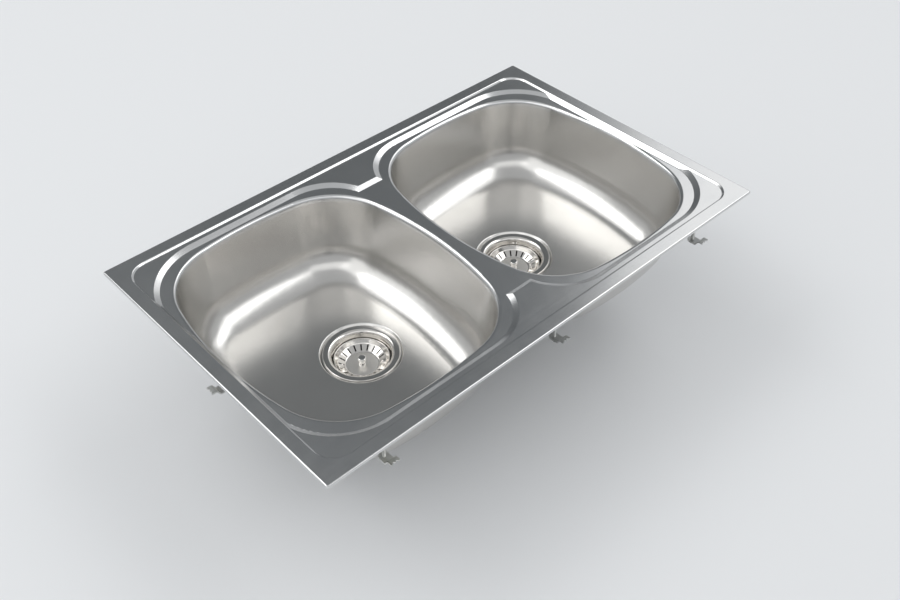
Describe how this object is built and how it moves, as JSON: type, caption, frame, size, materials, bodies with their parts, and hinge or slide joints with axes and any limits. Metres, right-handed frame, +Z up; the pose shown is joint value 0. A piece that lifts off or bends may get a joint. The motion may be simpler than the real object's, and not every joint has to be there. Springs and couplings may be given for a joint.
{
  "type": "double bowl kitchen sink",
  "caption": "Inset stainless kitchen sink with two equal bowls, pressed border steps, lift-out basket strainers, wastes and rim clamps.",
  "frame": {"origin": "centre of the worktop cut-out, at the height of the worktop's top face", "axes": "+X along the long side to the right, +Y to the back, +Z up"},
  "size_m": [0.8, 0.5, 0.2365],
  "materials": {
    "deck_steel": "satin rolled stainless steel",
    "bowl_steel": "fine satin stainless steel",
    "strainer_steel": "polished stainless steel",
    "knob_chrome": "polished",
    "gasket_rubber": "matt",
    "waste_plastic": "moulded polypropylene",
    "clamp_zinc": "zinc plated",
    "seal_foam": "closed-cell foam",
    "damping_pad": "matt bitumen pad"
  },
  "bodies": {
    "sink": {"deck": "deck_steel", "left_bowl": "bowl_steel", "right_bowl": "bowl_steel", "rim_seal": "seal_foam", "left_sound_pad": "damping_pad", "left_strainer_cup": "strainer_steel", "left_upper_gasket": "gasket_rubber", "left_lower_gasket": "gasket_rubber", "left_waste_body": "waste_plastic", "left_waste_screw": "strainer_steel", "right_sound_pad": "damping_pad", "right_strainer_cup": "strainer_steel", "right_upper_gasket": "gasket_rubber", "right_lower_gasket": "gasket_rubber", "right_waste_body": "waste_plastic", "right_waste_screw": "strainer_steel", "clamp_tabs": "clamp_zinc", "clamp_nuts": "clamp_zinc"},
    "left_strainer": {"left_basket": "strainer_steel", "left_basket_knob": "knob_chrome", "left_basket_stopper": "gasket_rubber"},
    "right_strainer": {"right_basket": "strainer_steel", "right_basket_knob": "knob_chrome", "right_basket_stopper": "gasket_rubber"},
    "clamp_1_screw": {"clamp_1_screw": "clamp_zinc"},
    "clamp_1_claw": {"clamp_1_claw": "clamp_zinc"},
    "clamp_2_screw": {"clamp_2_screw": "clamp_zinc"},
    "clamp_2_claw": {"clamp_2_claw": "clamp_zinc"},
    "clamp_3_screw": {"clamp_3_screw": "clamp_zinc"},
    "clamp_3_claw": {"clamp_3_claw": "clamp_zinc"},
    "clamp_4_screw": {"clamp_4_screw": "clamp_zinc"},
    "clamp_4_claw": {"clamp_4_claw": "clamp_zinc"},
    "clamp_5_screw": {"clamp_5_screw": "clamp_zinc"},
    "clamp_5_claw": {"clamp_5_claw": "clamp_zinc"},
    "clamp_6_screw": {"clamp_6_screw": "clamp_zinc"},
    "clamp_6_claw": {"clamp_6_claw": "clamp_zinc"},
    "clamp_7_screw": {"clamp_7_screw": "clamp_zinc"},
    "clamp_7_claw": {"clamp_7_claw": "clamp_zinc"},
    "clamp_8_screw": {"clamp_8_screw": "clamp_zinc"},
    "clamp_8_claw": {"clamp_8_claw": "clamp_zinc"}
  },
  "joints": [
    {"name": "left_basket_lift", "type": "slide", "parent": "sink", "child": "left_strainer", "axis": [0, 0, 1], "range_m": [0, 0.19]},
    {"name": "right_basket_lift", "type": "slide", "parent": "sink", "child": "right_strainer", "axis": [0, 0, 1], "range_m": [0, 0.19]},
    {"name": "clamp_1_draw", "type": "slide", "parent": "sink", "child": "clamp_1_screw", "axis": [0, 0, 1], "range_m": [-0.006, 0.01]},
    {"name": "clamp_1_swing", "type": "hinge", "parent": "clamp_1_screw", "child": "clamp_1_claw", "pos_m": [-0.3, 0.2265, -0.047], "axis": [0, 0, 1], "range_deg": [-90, 90]},
    {"name": "clamp_2_draw", "type": "slide", "parent": "sink", "child": "clamp_2_screw", "axis": [0, 0, 1], "range_m": [-0.006, 0.01]},
    {"name": "clamp_2_swing", "type": "hinge", "parent": "clamp_2_screw", "child": "clamp_2_claw", "pos_m": [0, 0.2265, -0.047], "axis": [0, 0, 1], "range_deg": [-90, 90]},
    {"name": "clamp_3_draw", "type": "slide", "parent": "sink", "child": "clamp_3_screw", "axis": [0, 0, 1], "range_m": [-0.006, 0.01]},
    {"name": "clamp_3_swing", "type": "hinge", "parent": "clamp_3_screw", "child": "clamp_3_claw", "pos_m": [0.3, 0.2265, -0.047], "axis": [0, 0, 1], "range_deg": [-90, 90]},
    {"name": "clamp_4_draw", "type": "slide", "parent": "sink", "child": "clamp_4_screw", "axis": [0, 0, 1], "range_m": [-0.006, 0.01]},
    {"name": "clamp_4_swing", "type": "hinge", "parent": "clamp_4_screw", "child": "clamp_4_claw", "pos_m": [0.3765, 0, -0.047], "axis": [0, 0, 1], "range_deg": [-90, 90]},
    {"name": "clamp_5_draw", "type": "slide", "parent": "sink", "child": "clamp_5_screw", "axis": [0, 0, 1], "range_m": [-0.006, 0.01]},
    {"name": "clamp_5_swing", "type": "hinge", "parent": "clamp_5_screw", "child": "clamp_5_claw", "pos_m": [0.3, -0.2265, -0.047], "axis": [0, 0, 1], "range_deg": [-90, 90]},
    {"name": "clamp_6_draw", "type": "slide", "parent": "sink", "child": "clamp_6_screw", "axis": [0, 0, 1], "range_m": [-0.006, 0.01]},
    {"name": "clamp_6_swing", "type": "hinge", "parent": "clamp_6_screw", "child": "clamp_6_claw", "pos_m": [0, -0.2265, -0.047], "axis": [0, 0, 1], "range_deg": [-90, 90]},
    {"name": "clamp_7_draw", "type": "slide", "parent": "sink", "child": "clamp_7_screw", "axis": [0, 0, 1], "range_m": [-0.006, 0.01]},
    {"name": "clamp_7_swing", "type": "hinge", "parent": "clamp_7_screw", "child": "clamp_7_claw", "pos_m": [-0.3, -0.2265, -0.047], "axis": [0, 0, 1], "range_deg": [-90, 90]},
    {"name": "clamp_8_draw", "type": "slide", "parent": "sink", "child": "clamp_8_screw", "axis": [0, 0, 1], "range_m": [-0.006, 0.01]},
    {"name": "clamp_8_swing", "type": "hinge", "parent": "clamp_8_screw", "child": "clamp_8_claw", "pos_m": [-0.3765, 0, -0.047], "axis": [0, 0, 1], "range_deg": [-90, 90]}
  ]
}
